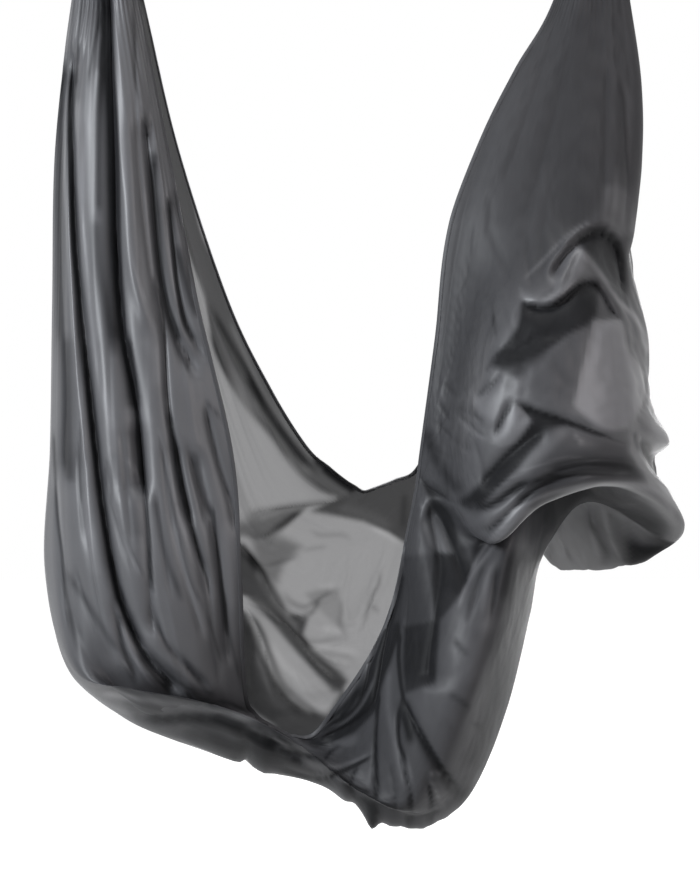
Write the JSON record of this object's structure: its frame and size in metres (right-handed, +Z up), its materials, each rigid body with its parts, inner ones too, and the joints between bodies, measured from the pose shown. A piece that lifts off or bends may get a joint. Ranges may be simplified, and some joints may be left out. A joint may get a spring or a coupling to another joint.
{
  "type": "aerial yoga hammock",
  "caption": "Wide tricot sheet gathered at both ends into sewn channels and hung from webbing slings on oval screw-lock carabiners.",
  "frame": {"origin": "midway between the two points where the carabiners' inner crowns bear on their anchors", "axes": "+Z up, +X from the left anchor to the right anchor, front towards -Y"},
  "size_m": [1.298, 0.7475, 2.1267],
  "materials": {
    "sheet": "satin warp-knit nylon tricot, slightly sheer",
    "webbing": "flat woven polyester webbing",
    "steel": "zinc plated, satin",
    "sleeve_steel": "darker satin",
    "spring_steel": "drawn wire"
  },
  "bodies": {
    "rigging": {"left_carabiner_frame": "steel", "right_carabiner_frame": "steel", "left_hinge_rivet": "steel", "right_hinge_rivet": "steel"},
    "hammock": {"fabric_left_leg": "sheet", "fabric_seat": "sheet", "fabric_right_leg": "sheet", "left_sewn_channel": "sheet", "right_sewn_channel": "sheet", "left_sling": "webbing", "right_sling": "webbing", "left_sling_overlap": "webbing", "right_sling_overlap": "webbing"},
    "left_gate_bar": {"left_gate": "steel", "left_nose_pin": "steel", "left_gate_spring": "spring_steel"},
    "right_gate_bar": {"right_gate": "steel", "right_nose_pin": "steel", "right_gate_spring": "spring_steel"},
    "left_lock": {"left_lock_sleeve": "sleeve_steel"},
    "right_lock": {"right_lock_sleeve": "sleeve_steel"},
    "left_push_rod": {"left_gate_plunger": "steel"},
    "right_push_rod": {"right_gate_plunger": "steel"}
  },
  "joints": [
    {"name": "hammock_swing", "type": "hinge", "parent": "rigging", "child": "hammock", "pos_m": [0, 0, -0.102], "axis": [1, 0, 0], "range_deg": [-60, 60]},
    {"name": "left_gate_hinge", "type": "hinge", "parent": "rigging", "child": "left_gate_bar", "pos_m": [-0.475, 0, -0.082], "axis": [0, -1, 0], "range_deg": [0, 28], "stiffness_Nm_per_rad": 0.12, "springref_deg": -28.65},
    {"name": "right_gate_hinge", "type": "hinge", "parent": "rigging", "child": "right_gate_bar", "pos_m": [0.525, 0, -0.082], "axis": [0, -1, 0], "range_deg": [0, 28], "stiffness_Nm_per_rad": 0.12, "springref_deg": -28.65},
    {"name": "left_sleeve_slide", "type": "slide", "parent": "left_gate_bar", "child": "left_lock", "axis": [0, 0, 1], "range_m": [0, 0.024]},
    {"name": "right_sleeve_slide", "type": "slide", "parent": "right_gate_bar", "child": "right_lock", "axis": [0, 0, 1], "range_m": [0, 0.024]},
    {"name": "left_plunger_slide", "type": "slide", "parent": "left_gate_bar", "child": "left_push_rod", "axis": [0, 0, 1], "range_m": [0, 0.0008], "deforming": ["left_gate_spring"]},
    {"name": "right_plunger_slide", "type": "slide", "parent": "right_gate_bar", "child": "right_push_rod", "axis": [0, 0, 1], "range_m": [0, 0.0008], "deforming": ["right_gate_spring"]}
  ],
  "couplings": [
    {"joint": "left_plunger_slide", "follows": "left_gate_hinge", "m_per_rad": 0.00143},
    {"joint": "right_plunger_slide", "follows": "right_gate_hinge", "m_per_rad": 0.00143}
  ]
}
